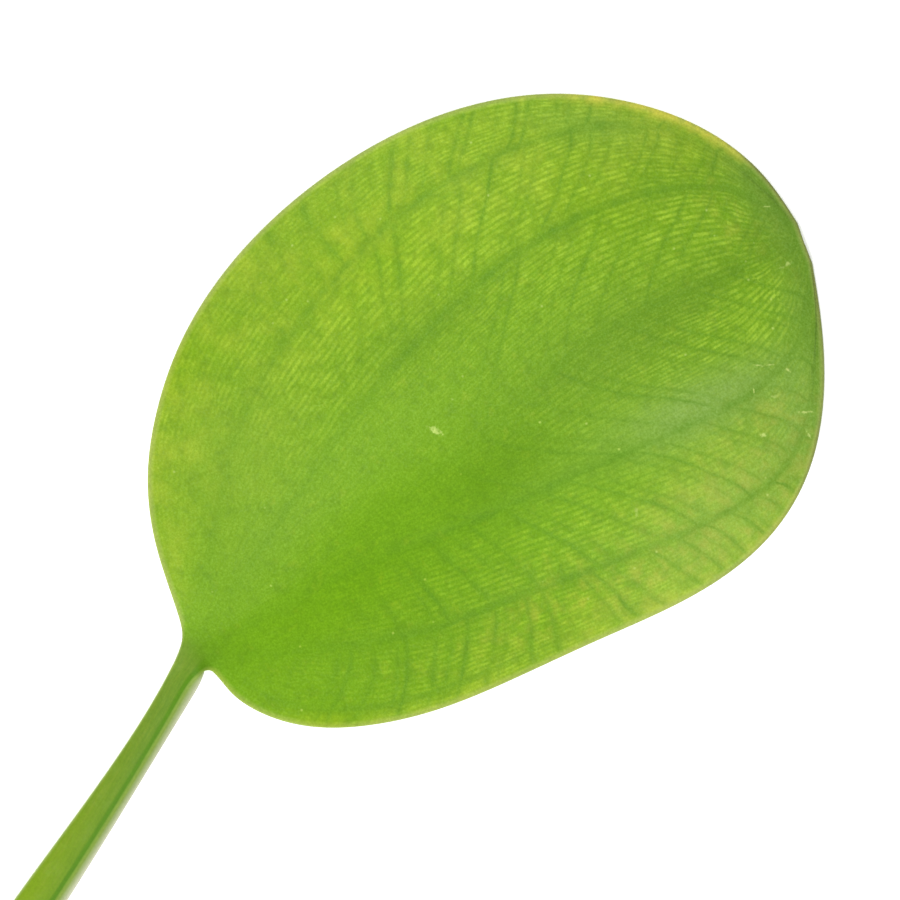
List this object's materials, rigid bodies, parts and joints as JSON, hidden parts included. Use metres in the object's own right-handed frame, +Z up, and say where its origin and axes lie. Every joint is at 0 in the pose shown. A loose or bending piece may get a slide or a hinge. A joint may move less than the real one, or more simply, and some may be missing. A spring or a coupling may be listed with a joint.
{
  "type": "amazon frogbit leaf",
  "caption": "Picked leaf of a water plant, lying face up: a broad, lopsided, round blade with arching veins and a low dome, on a keeled stalk that ends in a plain cut.",
  "frame": {"origin": "middle of the leaf's outer box, on the surface that the leaf lies on", "axes": "+Y from the foot of the blade to its tip, +X to the right of the midrib seen from above, +Z up from the surface"},
  "size_m": [0.0376, 0.078, 0.0031],
  "materials": {
    "blade": "satin",
    "stalk": "satin"
  },
  "bodies": {
    "root": {"leaf_blade": "blade", "leaf_stalk": "stalk"}
  },
  "joints": []
}
